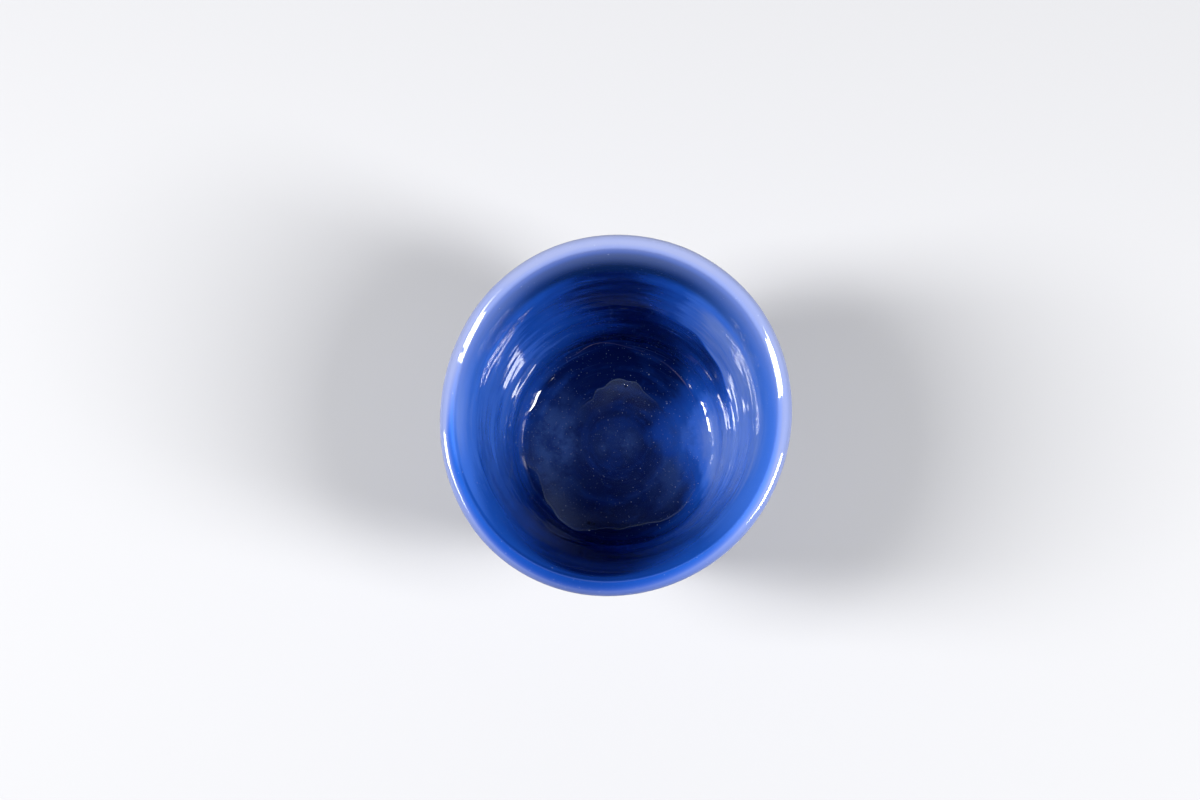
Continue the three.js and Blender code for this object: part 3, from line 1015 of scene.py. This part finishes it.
def clear_glaze():
    """A see-through gloss whose milkiness gathers at the edge."""
    material, tree, shader = new_finish("clear glaze")
    edge, pit_shade = attribute(tree, "edge"), attribute(tree, "pit_shade")
    drift = clouds(tree, 70.0, 3.0)
    cloudy = remap(tree, drift, 0.3, 0.65, 0.5, 1.2)
    alpha = math_node(tree, "MULTIPLY", remap(tree, edge, -8.0, -0.8, 0.0, 0.12), cloudy, clamp=True)
    alpha = math_node(tree, "MULTIPLY", alpha, attribute(tree, "milk"), clamp=True)
    edge_line = product(tree, remap(tree, edge, -0.6, -0.1, 0.0, 0.3), attribute(tree, "line"))
    alpha = math_node(tree, "ADD", alpha, edge_line)
    alpha = math_node(tree, "ADD", alpha, remap(tree, edge, -14.0, 0.0, 0.012, 0.0))
    floating = product(tree, dots_of(tree, 1.5, 0.18, 0.5), 0.4)
    alpha = math_node(tree, "ADD", alpha, floating, clamp=True)
    # Painted shade: the pits are nearly black and opaque.
    alpha = math_node(tree, "MAXIMUM", alpha, product(tree, pit_shade, 0.7))
    tree.links.new(alpha, shader.inputs["Alpha"])
    colour = mix_colour(tree, drift, THIN_MILK, FULL_MILK)
    colour = mix_colour(tree, remap(tree, pit_shade, 0.15, 0.5), colour, PAINTED_PIT_SHADE)
    tree.links.new(colour, shader.inputs["Base Color"])
    shader.inputs["Roughness"].default_value = 0.04
    shader.inputs["IOR"].default_value = 1.5
    return material


pool_finish = clear_glaze()

# %% Finishes on the pieces
dressed = [
    (clay, "clay_body", "clay", clay_finish),
    (liner, "liner_glaze", "blue_glaze", liner_finish),
    (outer, "outer_glaze", "blue_glaze", outer_finish),
    (lip_piece, "lip_glaze", "lip_glaze", liner_finish),
    (base, "base_glaze", "blue_glaze", base_finish),
    (pool, "glaze_pool", "clear_glaze", pool_finish),
]
for piece, node, slot, finish in dressed:
    piece.data.materials.append(finish)
    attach(piece, "root")
    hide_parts(node)
print("pieces dressed:", len(dressed))

# %% [markdown]
# ## Floor, light and camera
# The cup stands on a plain pale floor. Two tall soft panels stand left and right, one large panel behind,
# and the sky of the studio is dim overhead and lighter near the floor. The camera looks almost straight down.

# %% Floor
FLOOR_HALF = 1.2
FLOOR_COLOUR = (0.40, 0.40, 0.41, 1)


def studio_floor():
    """A wide pale sheet at the height that the foot stands on."""
    corners = [(x * FLOOR_HALF, y * FLOOR_HALF, 0) for x, y in ((-1, -1), (1, -1), (1, 1), (-1, 1))]
    mesh = bpy.data.meshes.new("studio_floor")
    mesh.from_pydata(corners, [], [(0, 1, 2, 3)])
    floor = bpy.data.objects.new("studio_floor", mesh)
    bpy.context.scene.collection.objects.link(floor)
    material, _, shader = new_finish("pale floor")
    shader.inputs["Base Color"].default_value = FLOOR_COLOUR
    shader.inputs["Roughness"].default_value = 0.7
    mesh.materials.append(material)


studio_floor()

# %% Light
SKY_OVERHEAD = (0.004, 0.005, 0.008, 1)
SKY_LOW = (0.30, 0.33, 0.40, 1)
rim_middle = Vector((0, 0, HEIGHT * MM))


def soft_panel(name, bearing, elevation, distance, width, length, power):
    """A rectangle of light facing the rim. Angles are in degrees, sizes in metres, power in watts."""
    turn, rise = math.radians(bearing), math.radians(elevation)
    towards = Vector((math.cos(turn) * math.cos(rise), math.sin(turn) * math.cos(rise), math.sin(rise)))
    lamp = bpy.data.lights.new(name, "AREA")
    lamp.shape, lamp.size, lamp.size_y, lamp.energy = "RECTANGLE", width, length, power
    panel = bpy.data.objects.new(name, lamp)
    panel.rotation_euler = towards.to_track_quat("Z", "Y").to_euler()
    panel.location = rim_middle + towards * distance
    bpy.context.scene.collection.objects.link(panel)
    print(name, "at", bearing, "degrees,", power, "W")


soft_panel("left_panel", bearing=182, elevation=50, distance=0.9, width=0.18, length=0.54, power=13.5)
soft_panel("right_panel", bearing=343, elevation=50, distance=0.9, width=0.18, length=0.54, power=12.5)
soft_panel("back_panel", bearing=90, elevation=14, distance=1.2, width=1.6, length=0.6, power=1.2)


def studio_sky():
    """Dim overhead and lighter towards the floor, so that a level gloss looks dark from above."""
    world = bpy.data.worlds.new("studio")
    bpy.context.scene.world = world
    world.use_nodes = True
    tree = world.node_tree
    direction = add(tree, "ShaderNodeTexCoord").outputs["Generated"]
    split = add(tree, "ShaderNodeSeparateXYZ", {0: direction})
    low = remap(tree, split.outputs["Z"], 0.1, 0.7, 1.0, 0.0)
    colour = mix_colour(tree, low, SKY_OVERHEAD, SKY_LOW)
    tree.links.new(colour, tree.nodes["Background"].inputs["Color"])


studio_sky()

# %% Camera
ELEVATION = math.radians(83.5)
RANGE_MM = 550.0
AZIMUTH = math.radians(8.0)
RIM_RADIUS_PX = 179.95
RIM_MIDDLE_PX = (614.9, 413.1)
FRAME_PX = (1200.0, 800.0)


def camera_over_cup():
    """A camera above the rim, with the frame's upward side along +Y, set so the rim falls on its place."""
    level = math.cos(ELEVATION)
    back = np.array([math.sin(AZIMUTH) * level, -math.cos(AZIMUTH) * level, math.sin(ELEVATION)])
    ahead = -back
    up = np.array([0.0, 1.0, 0.0]) - ahead * ahead[1]
    up /= np.linalg.norm(up)
    right = np.cross(ahead, up)
    focal_px = RIM_RADIUS_PX / RIM_RADIUS * RANGE_MM
    aside = (RIM_MIDDLE_PX[0] - FRAME_PX[0] / 2) / focal_px
    above = -(RIM_MIDDLE_PX[1] - FRAME_PX[1] / 2) / focal_px
    place = np.array([0.0, 0.0, HEIGHT]) - (ahead + right * aside + up * above) * RANGE_MM
    lens = bpy.data.cameras.new("camera")
    lens.sensor_width = 36.0
    lens.lens = focal_px / FRAME_PX[0] * lens.sensor_width
    camera = bpy.data.objects.new("camera", lens)
    axes = Matrix([right, up, back]).transposed().to_4x4()
    camera.matrix_world = Matrix.Translation(Vector(place * MM)) @ axes
    bpy.context.scene.collection.objects.link(camera)
    bpy.context.scene.camera = camera
    print("lens %.1f mm" % lens.lens)


camera_over_cup()
bpy.context.scene.view_settings.view_transform = "Standard"
